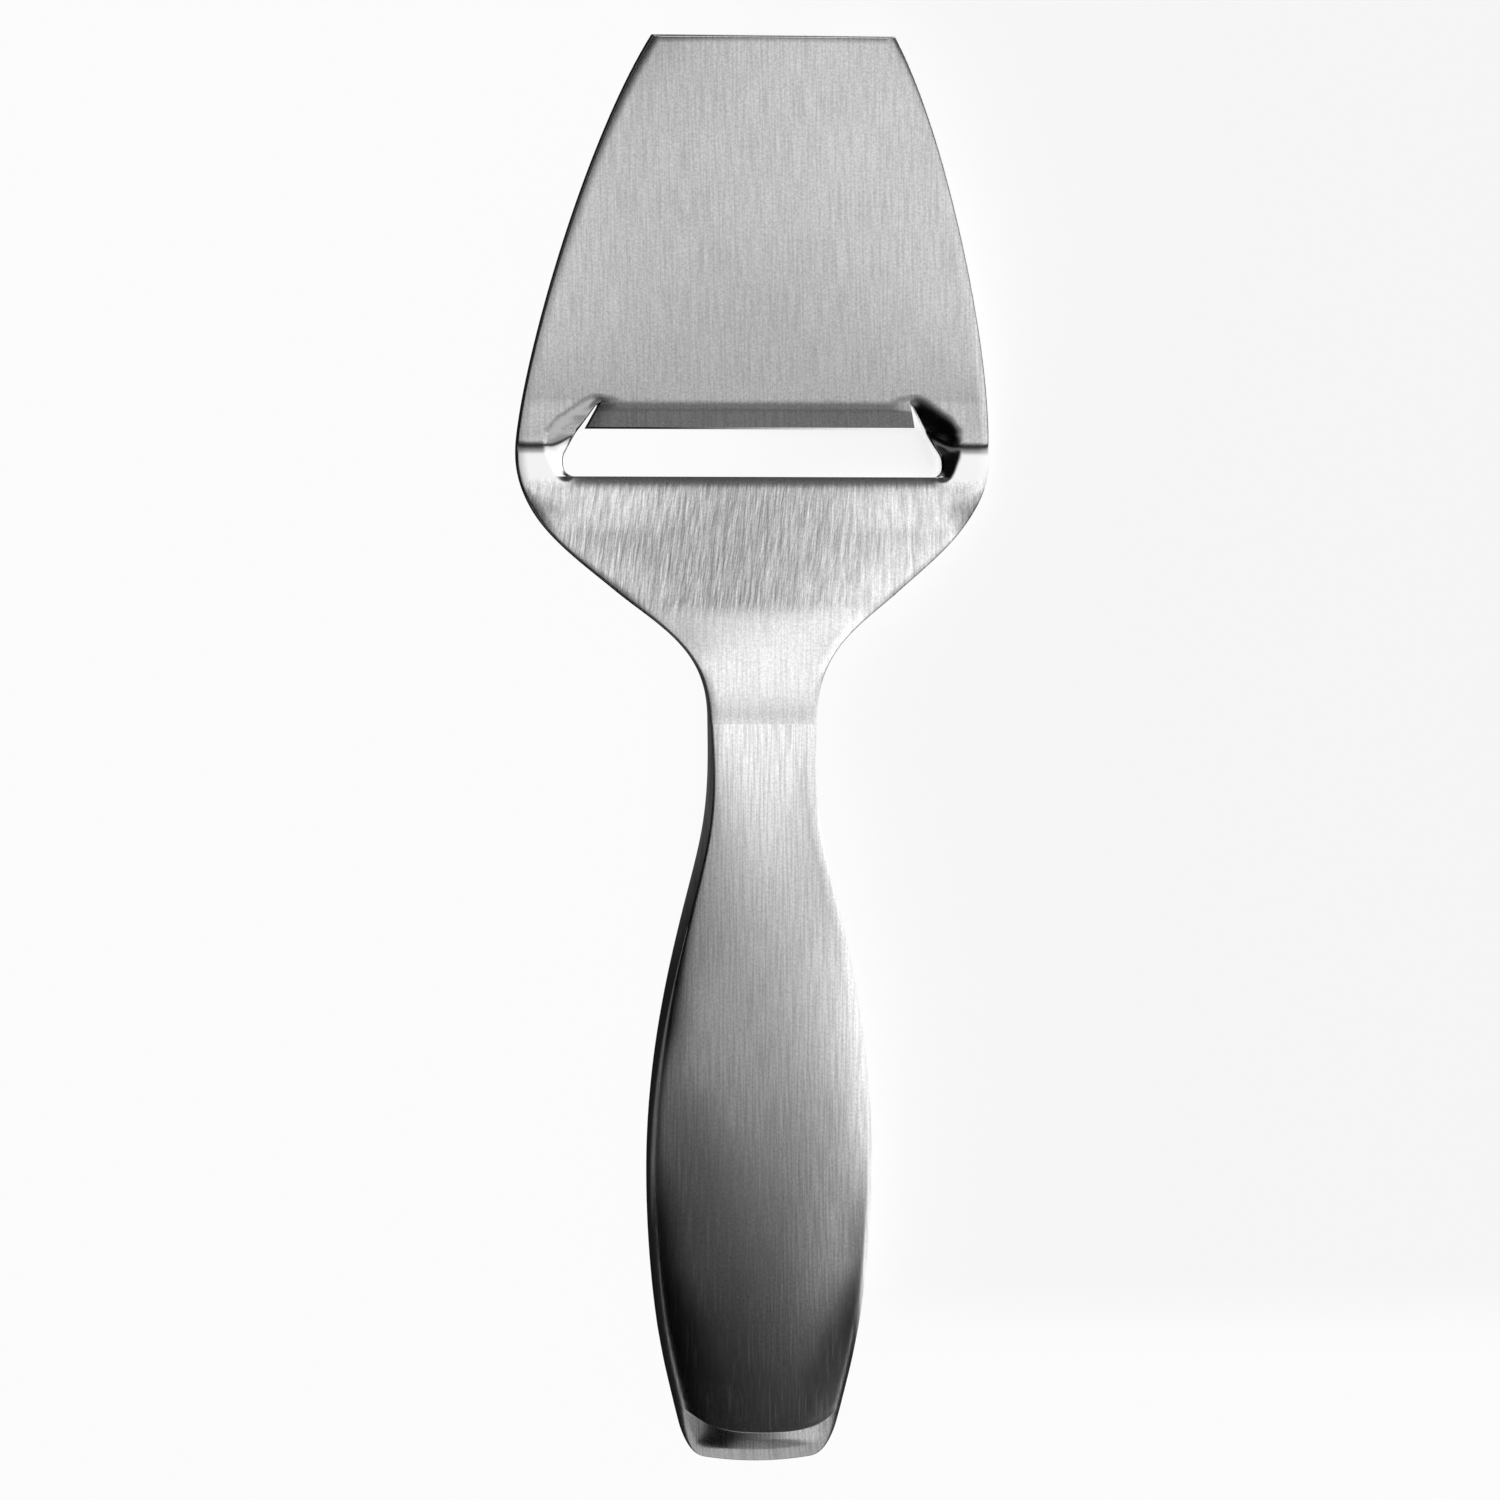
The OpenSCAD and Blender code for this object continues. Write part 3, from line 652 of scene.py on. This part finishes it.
def makeShell(name, side):
    s = shell
    rows = len(sections) - 1
    piece = startGrid(name, s["columns"], rows)
    for v in piece.data.vertices:
        x, y, z = sections[round((0.5 - v.co.y) * rows)][round((v.co.x + 0.5) * s["columns"])]
        v.co = (x, y, midZ(y) + side * z)
    bpy.ops.object.mode_set(mode="EDIT")
    bpy.ops.mesh.select_all(action="SELECT")
    bpy.ops.mesh.remove_doubles(threshold=s["mergeGap"])
    bpy.ops.mesh.normals_make_consistent(inside=False)
    bpy.ops.object.mode_set(mode="OBJECT")
    top = max(piece.data.polygons, key=lambda f: side * f.center.z)
    if top.normal.z * side < 0:
        piece.data.flip_normals()
    addModifier(piece, "wall", "SOLIDIFY", thickness=s["wall"], offset=-1)
    return piece


brushMap = {
    "girthRadius": 10 * mm,
    "scale": 10,  # units of the map in a metre
    "steep": 0.35,  # faces whose normal rises less than this are edges
}


def girthMap(piece, onHandle):  # u runs round the section, v along the length, for the brushing
    b = brushMap
    mesh = piece.data
    layer = mesh.uv_layers[0] if mesh.uv_layers else mesh.uv_layers.new(name="brush")
    layer.name = "brush"
    for face in mesh.polygons:
        n = face.normal
        for loop in face.loop_indices:
            co = mesh.vertices[mesh.loops[loop].vertex_index].co
            u, v = co.x, co.y
            if onHandle:
                u = math.atan2(co.z - midZ(co.y), co.x) * b["girthRadius"]
            elif abs(n.z) < b["steep"]:
                u, v = (co.z, co.y) if abs(n.x) > abs(n.y) else (co.x, co.z)
            layer.data[loop].uv = (u * b["scale"], v * b["scale"])


def markPressed(piece):  # the pressed metal round the slot's ends is smoother than the brushed faces
    p = plate
    fade = p["pressedFade"]
    mark = piece.data.attributes.new("pressed", "FLOAT", "POINT")
    for v in piece.data.vertices:
        x, y, z = v.co
        if onLip(x, y):
            continue
        pressed = smooth(dish(x, y) / p["pressedDepth"])
        facet = smooth((y - yRear + fade) / fade) * smooth((yCrease - y) / fade)
        beside = smooth((abs(x) - slotHeel.x + p["pressedBeside"]) / p["pressedBeside"])
        mark.data[v.index].value = max(pressed, facet * beside)


bladePlate = makePlate()
girthMap(bladePlate, False)
markPressed(bladePlate)
sections = shellSections()
handleTopShell = makeShell("handleTopShell", 1)
girthMap(handleTopShell, True)
handleBottomShell = makeShell("handleBottomShell", -1)
girthMap(handleBottomShell, True)
print("pieces", [(o.name, len(o.data.polygons)) for o in (bladePlate, handleTopShell, handleBottomShell)])


# Materials
def newMaterial(name):
    material = bpy.data.materials.new(name)
    material.use_nodes = True
    return material, material.node_tree.nodes, material.node_tree.links


def grey(level):
    return (level, level, level, 1)


class Nodes:
    def __init__(self, material):
        self.nodes = material.node_tree.nodes
        self.links = material.node_tree.links

    def add(self, kind, **settings):
        node = self.nodes.new(kind)
        for key, value in settings.items():
            setattr(node, key, value)
        return node

    def feed(self, socket, value):
        if isinstance(value, (int, float, tuple)):
            socket.default_value = value
        else:
            self.links.new(value, socket)

    def math(self, operation, a, b=0.0):
        node = self.add("ShaderNodeMath", operation=operation)
        self.feed(node.inputs[0], a)
        self.feed(node.inputs[1], b)
        return node.outputs[0]

    def spread(self, value, low, high, to=(0, 1), soft=True):
        node = self.add("ShaderNodeMapRange", interpolation_type="SMOOTHSTEP" if soft else "LINEAR")
        self.feed(node.inputs["Value"], value)
        node.inputs["From Min"].default_value = low
        node.inputs["From Max"].default_value = high
        node.inputs["To Min"].default_value = to[0]
        node.inputs["To Max"].default_value = to[1]
        return node.outputs[0]

    def noise(self, vector, detail, scale=1):
        node = self.add("ShaderNodeTexNoise")
        node.inputs["Scale"].default_value = scale
        node.inputs["Detail"].default_value = detail
        self.links.new(vector, node.inputs["Vector"])
        return node.outputs["Fac"]

    def mix(self, share, a, b):
        node = self.add("ShaderNodeMixShader")
        for socket, value in zip(node.inputs, (share, a, b)):
            self.links.new(value, socket)
        return node.outputs[0]

    def vector(self, x, y, z):
        node = self.add("ShaderNodeCombineXYZ")
        for socket, value in zip(node.inputs, (x, y, z)):
            self.feed(socket, value)
        return node.outputs[0]


brushed = {
    "pressedColour": 0.73,
    "pressedRoughness": 0.15,
    "scratchRoughness": 0.55,
    "anisotropic": 0.9,
    "detail": 2,
    "uprightShare": 1 / 3,  # on upright faces the streaks are three times as wide
    "speckles": 2400,
    "haze": 26,
    "coarseAcross": 1500,
    "coarseAlong": 190,
    "coarseSeed": 0.5,
    "coarseLean": 0.16,  # the coarse streaks lean on the left and stand straight on the right
    "leanEnds": (5 * mm, 30 * mm),
    "coarseStart": (0.5 * mm, 2.5 * mm),  # behind the slot's rear edge
    "coarseStop": (26 * mm, 22 * mm),
    "toneSpread": (0.37, 0.63),  # values of the noise that give the darkest and the lightest tone
    "wideSpread": (0.3, 0.7),
    "scratchSpread": (0.56, 0.66),
}


def steelShader(kit, colour, bump, roughness, anisotropic):
    shader = kit.add("ShaderNodeBsdfPrincipled")
    shader.inputs["Metallic"].default_value = 1
    kit.feed(shader.inputs["Base Color"], colour)
    kit.feed(shader.inputs["Roughness"], roughness)
    kit.feed(shader.inputs["Normal"], bump)
    if anisotropic:
        shader.inputs["Anisotropic"].default_value = anisotropic
        tangent = kit.add("ShaderNodeTangent", direction_type="UV_MAP", uv_map="brush")
        kit.links.new(tangent.outputs[0], shader.inputs["Tangent"])
    return shader.outputs[0]


def brushedSteel(name, finish):
    b = brushed
    material, nodes, links = newMaterial(name)
    kit = Nodes(material)
    nodes.remove(nodes["Principled BSDF"])
    place = kit.add("ShaderNodeSeparateXYZ")
    spot = kit.add("ShaderNodeTexCoord").outputs["Object"]
    links.new(spot, place.inputs[0])
    x, y, z = place.outputs
    count = finish["fineAcross"]
    level, rising = kit.math("MULTIPLY", x, count), kit.math("MULTIPLY", z, count * b["uprightShare"])
    across = kit.math("ADD", level, rising)
    fine = kit.noise(kit.vector(across, kit.math("MULTIPLY", y, finish["fineAlong"]), 0.0), b["detail"])
    height = kit.math("MULTIPLY", fine, finish["fineBump"])
    tone = kit.spread(fine, *b["toneSpread"], (1 - finish["fineTone"], 1), False)
    for scale, strength in ((b["speckles"], finish["speckleTone"]), (b["haze"], finish["hazeTone"])):
        spots = kit.noise(spot, b["detail"], scale)
        tone = kit.math("MULTIPLY", tone, kit.spread(spots, *b["wideSpread"], (1 - strength, 1), False))
    if finish["coarseTone"]:
        lean = kit.spread(x, *b["leanEnds"], (b["coarseLean"], 0))
        shifted = kit.math("SUBTRACT", x, kit.math("MULTIPLY", lean, kit.math("SUBTRACT", y, yRear)))
        wide = kit.math("MULTIPLY", shifted, b["coarseAcross"])
        long = kit.math("MULTIPLY", y, b["coarseAlong"])
        coarse = kit.noise(kit.vector(wide, long, b["coarseSeed"]), b["detail"])
        starts, stops = ([yRear - d for d in b[key]] for key in ("coarseStart", "coarseStop"))
        rear = kit.math("MULTIPLY", kit.spread(y, *starts), kit.spread(y, *stops))
        streak = kit.math("MULTIPLY", rear, kit.spread(coarse, *b["wideSpread"], (0, 1), False))
        darker = kit.math("MULTIPLY", streak, finish["coarseTone"])
        tone = kit.math("MULTIPLY", tone, kit.math("SUBTRACT", 1.0, darker))
        height = kit.math("ADD", height, kit.math("MULTIPLY", streak, finish["coarseBump"]))
    level = kit.math("MULTIPLY", tone, finish["colour"])
    colour = kit.vector(level, level, level)
    bump = kit.add("ShaderNodeBump")
    bump.inputs["Strength"].default_value = 1
    bump.inputs["Distance"].default_value = mm
    links.new(height, bump.inputs["Height"])
    relief = bump.outputs[0]
    rough, sway = finish["roughness"], finish["roughSway"]
    rough = kit.spread(fine, *b["wideSpread"], (rough + sway, rough - sway), False)
    surface = steelShader(kit, colour, relief, rough, b["anisotropic"])
    scratches = steelShader(kit, colour, relief, b["scratchRoughness"], 0)
    surface = kit.mix(kit.spread(fine, *b["scratchSpread"], (0, finish["scratches"])), surface, scratches)
    if finish["pressed"]:
        smoothed = steelShader(kit, grey(b["pressedColour"]), relief, b["pressedRoughness"], 0)
        mark = kit.add("ShaderNodeAttribute", attribute_name="pressed")
        surface = kit.mix(mark.outputs["Fac"], surface, smoothed)
    links.new(surface, nodes["Material Output"].inputs["Surface"])
    return material


cementFinish = {
    "roughness": 0.9,
    "grains": 900,
    "dark": (0.45, 0.43, 0.39, 1),
    "light": (0.62, 0.6, 0.56, 1),
}


def bedding():
    c = cementFinish
    material, nodes, links = newMaterial("beddingCement")
    filler = nodes["Principled BSDF"]
    filler.inputs["Roughness"].default_value = c["roughness"]
    place = nodes.new("ShaderNodeTexCoord")
    grains = nodes.new("ShaderNodeTexNoise")
    grains.inputs["Scale"].default_value = c["grains"]
    links.new(place.outputs["Object"], grains.inputs["Vector"])
    tones = nodes.new("ShaderNodeValToRGB")
    tones.color_ramp.elements[0].color = c["dark"]
    tones.color_ramp.elements[1].color = c["light"]
    links.new(grains.outputs["Fac"], tones.inputs["Fac"])
    links.new(tones.outputs["Color"], filler.inputs["Base Color"])
    return material


plateFinish = {
    "colour": 0.96,
    "fineAcross": 2800,  # streaks in a metre
    "fineAlong": 110,
    "fineTone": 0.14,
    "scratches": 0.05,
    "fineBump": 0.005,
    "roughness": 0.2,
    "roughSway": 0.02,
    "coarseTone": 0.34,
    "coarseBump": 0.03,
    "speckleTone": 0.24,
    "hazeTone": 0.08,
    "pressed": True,
}
handleFinish = {
    "colour": 0.95,
    "fineAcross": 2600,
    "fineAlong": 100,
    "fineTone": 0.24,
    "scratches": 0.1,
    "fineBump": 0.012,
    "roughness": 0.18,
    "roughSway": 0.04,
    "coarseTone": 0,
    "coarseBump": 0,
    "speckleTone": 0.2,
    "hazeTone": 0.04,
    "pressed": False,
}
sharpAngle = math.radians(35)  # steeper edges than this are shaded as edges
plateSteel = brushedSteel("plateSteel", plateFinish)
handleSteel = brushedSteel("handleSteel", handleFinish)
pieces = {
    "blade_plate": (bladePlate, plateSteel),
    "handle_top_shell": (handleTopShell, handleSteel),
    "handle_bottom_shell": (handleBottomShell, handleSteel),
}
for node, (piece, steel) in pieces.items():
    bpy.ops.object.select_all(action="DESELECT")
    piece.select_set(True)
    bpy.context.view_layer.objects.active = piece
    bpy.ops.object.shade_smooth_by_angle(angle=sharpAngle)
    piece.data.materials.clear()
    piece.data.materials.append(steel)
    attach(piece, "root")
    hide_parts(node)
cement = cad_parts["tang_cement"]
cement.data.materials.clear()
cement.data.materials.append(bedding())
print("materials set")

# Floor, light and camera
studio = {
    "cameraTurn": math.radians(14.5),
    "cameraDistance": 4,
    "frameSide": 263.9 * mm,
    "target": (0.24 * mm, -0.21 * mm, 0),
    "sensor": 36,  # camera sensor in mm
    "clip": (0.05, 50),
    "floorSize": 6,
    "floorColourAndPaintedShade": (0.008, 0.5),  # left of the slicer and right of it; the near-black left is painted shade for the metal's left sides to reflect
    "floorGlow": (0.97, 0.76),  # what the camera sees
    "floorPaintedReflection": (0.01, 1),  # what the metal sees: a painted reflection, dark on the left and bright on the right
    "floorLeftPaintedReflection": 0.14,  # painted reflection farther to the left, beside the handle, less dark
    # painted reflection behind the handle's end
    "floorBehindPaintedReflection": 0.45,
    "rightFade": (-20 * mm, 30 * mm),  # where each of these sets in, across or along
    "rightStart": (-108 * mm, -92 * mm),
    "behindFade": (0.5 * mm, 4 * mm),
    "leftFade": (-22 * mm, -40 * mm),
    "leftStart": (-90 * mm, -72 * mm),
    "leftStop": (4 * mm, -6 * mm),
}


def makeFloor():
    s = studio
    bpy.ops.object.select_all(action="DESELECT")
    bpy.ops.mesh.primitive_plane_add(size=s["floorSize"])
    floor = bpy.context.object
    floor.name = "floor"
    material, nodes, links = newMaterial("paleFloor")
    kit = Nodes(material)
    paper = nodes["Principled BSDF"]
    paper.inputs["Roughness"].default_value = 1
    paper.inputs["Specular IOR Level"].default_value = 0
    place = kit.add("ShaderNodeSeparateXYZ")
    links.new(kit.add("ShaderNodeTexCoord").outputs["Object"], place.inputs[0])
    across, along, up = place.outputs
    right = kit.spread(across, *s["rightFade"])
    beside = kit.math("MULTIPLY", right, kit.spread(along, *s["rightStart"]))
    # the floor's colour is near black left of the slicer: painted shade that the metal reflects
    level = kit.spread(beside, 0, 1, s["floorColourAndPaintedShade"], False)
    links.new(kit.vector(level, level, level), paper.inputs["Base Color"])
    rays = kit.add("ShaderNodeLightPath")
    white = kit.spread(beside, 0, 1, s["floorGlow"], False)
    seen = kit.math("MULTIPLY", rays.outputs["Is Camera Ray"], white)
    # glow that only the metal sees is a painted reflection: dark to the left, bright to the right, behind
    # the end and far left
    behindEnds = [yEnd - d for d in s["behindFade"]]
    behind = kit.spread(along, *behindEnds, (0, s["floorBehindPaintedReflection"]))
    paintedReflection = kit.math("MAXIMUM", kit.spread(beside, 0, 1, s["floorPaintedReflection"], False), behind)
    far = kit.math("MULTIPLY", kit.spread(across, *s["leftFade"]),
                   kit.spread(along, *s["leftStart"], (0, s["floorLeftPaintedReflection"])))
    far = kit.math("MULTIPLY", far, kit.spread(along, *s["leftStop"]))
    paintedReflection = kit.math("MAXIMUM", paintedReflection, far)
    shown = kit.math("MULTIPLY", rays.outputs["Is Glossy Ray"], paintedReflection)
    glow = kit.add("ShaderNodeEmission")
    links.new(kit.math("ADD", seen, shown), glow.inputs["Strength"])
    both = kit.add("ShaderNodeAddShader")
    links.new(paper.outputs[0], both.inputs[0])
    links.new(glow.outputs[0], both.inputs[1])
    links.new(both.outputs[0], nodes["Material Output"].inputs["Surface"])
    floor.data.materials.append(material)


# Light of the studio: what lies to the left of the slicer, over it and to its right,
# each from the handle's end (-1) to the tip (1)
studioLight = {
    "left": [(-1, 0), (-0.13, 0), (-0.08, 0.12), (0, 0.16), (0.05, 0.16), (0.08, 0.06), (0.1, 0), (0.6, 0),
             (1, 0.15)],
    "over": [(-1, 0.27), (-0.9, 0.19), (-0.86, 0.14), (-0.8, 0.08), (-0.72, 0.07), (-0.6, 0.06),
             (-0.52, 0.18), (-0.46, 0.22), (-0.43, 0.32), (-0.415, 0.42), (-0.4, 0.62), (-0.385, 0.82),
             (-0.36, 0.88), (-0.32, 0.88), (-0.28, 0.35), (-0.22, 0.03), (-0.1, 0), (-0.06, 0.05),
             (-0.04, 0.12), (0, 0.39), (0.04, 0.43), (0.08, 0.59), (0.11, 0.92), (0.14, 1.4),
             (0.19, 1.36), (0.3, 1.2), (0.34, 0.94), (0.38, 0.7), (0.43, 0.6), (0.5, 0.35),
             (0.6, 0.1), (1, 0.03)],
    "right": [(-1, 0.3), (-0.6, 0.3), (-0.33, 0.4), (-0.24, 0.05), (-0.13, 0), (-0.115, 0.04),
              (-0.085, 0.6), (-0.055, 1), (0, 1.18), (0.2, 1.5), (0.4, 1.9), (0.55, 1.2), (0.7, 0.2),
              (1, 0.05)],
    "blackAt": -1.05,  # across direction beyond which it is dark
    "darkAt": -0.7,
    "leftAt": -0.3,  # across direction at which each of the three holds
    "overAt": 0.25,
    "rightAt": 0.85,
    "brightest": 1.9,
    "panels": [  # soft light and dark panels laid over the three
        {"across": (0.3, 0.7), "along": (-0.42, -0.2), "soft": 0.13, "level": 1.15},
        {"across": (-1.2, 0.06), "along": (-1.2, -0.5), "soft": 0.1, "level": 0},
        {"across": (0.29, 0.9), "along": (-0.8, -0.42), "soft": 0.1, "level": 0.64},
        {"across": (-1.2, -0.56), "along": (-0.9, -0.42), "soft": 0.08, "level": 0.22},
    ],
    "panelFades": (0.02, 0.04),  # along, at the panel's rear and front
}


def makeWorld():
    s = studioLight
    world = bpy.data.worlds.new("softStudio")
    bpy.context.scene.world = world
    world.use_nodes = True
    kit = Nodes(world)
    nodes, links = kit.nodes, kit.links
    nodes.clear()
    parts = kit.add("ShaderNodeSeparateXYZ")
    links.new(kit.add("ShaderNodeTexCoord").outputs["Generated"], parts.inputs[0])
    across, along, up = parts.outputs

    def tones(stops):
        ramp = kit.add("ShaderNodeValToRGB")
        ramp.color_ramp.interpolation = "LINEAR"
        marks = ramp.color_ramp.elements
        while len(marks) < len(stops):
            marks.new(0.5)
        for mark, (at, level) in zip(marks, stops):
            mark.position = (at + 1) / 2
            mark.color = grey(level / s["brightest"])
        links.new(kit.spread(along, -1, 1, (0, 1), False), ramp.inputs["Fac"])
        return ramp.outputs["Color"]

    def mixed(share, a, b):
        mix = kit.add("ShaderNodeMix", data_type="RGBA")
        links.new(share, mix.inputs["Factor"])
        kit.feed(mix.inputs[6], a)  # the two colours, after the sockets for numbers and vectors
        kit.feed(mix.inputs[7], b)
        return mix.outputs[2]

    def between(low, high, a, b):
        return mixed(kit.spread(across, low, high, (0, 1), False), a, b)

    light = between(s["leftAt"], s["overAt"], tones(s["left"]), tones(s["over"]))
    light = between(s["overAt"], s["rightAt"], light, tones(s["right"]))
    light = between(s["blackAt"], s["darkAt"], grey(0), light)
    rearFade, frontFade = s["panelFades"]
    for p in s["panels"]:
        (a, b), (c, d), soft = p["across"], p["along"], p["soft"]
        beside = kit.math("MULTIPLY", kit.spread(across, a, a + soft), kit.spread(across, b, b - soft))
        ahead = kit.math("MULTIPLY", kit.spread(along, c, c + rearFade), kit.spread(along, d, d - frontFade))
        light = mixed(kit.math("MULTIPLY", beside, ahead), light, grey(p["level"] / s["brightest"]))
    lit = kit.add("ShaderNodeBackground")
    links.new(light, lit.inputs["Color"])
    lit.inputs["Strength"].default_value = s["brightest"]
    white = kit.add("ShaderNodeBackground")
    white.inputs["Color"].default_value = grey(1)
    choose = kit.add("ShaderNodeMixShader")
    links.new(kit.add("ShaderNodeLightPath").outputs["Is Camera Ray"], choose.inputs["Fac"])
    links.new(lit.outputs[0], choose.inputs[1])
    links.new(white.outputs[0], choose.inputs[2])
    links.new(choose.outputs[0], kit.add("ShaderNodeOutputWorld").inputs["Surface"])


def makeCamera():
    s = studio
    lens = bpy.data.cameras.new("camera")
    lens.sensor_width = s["sensor"]
    lens.lens = lens.sensor_width * s["cameraDistance"] / s["frameSide"]
    lens.clip_start, lens.clip_end = s["clip"]
    camera = bpy.data.objects.new("camera", lens)
    bpy.context.scene.collection.objects.link(camera)
    turn = s["cameraTurn"]
    back = Vector((-math.sin(turn), 0, math.cos(turn)))
    camera.location = Vector(s["target"]) + back * s["cameraDistance"]
    camera.rotation_euler = (0, -turn, 0)
    bpy.context.scene.camera = camera


makeFloor()
makeWorld()
makeCamera()
bpy.context.scene.view_settings.view_transform = "Standard"
print("stage set")
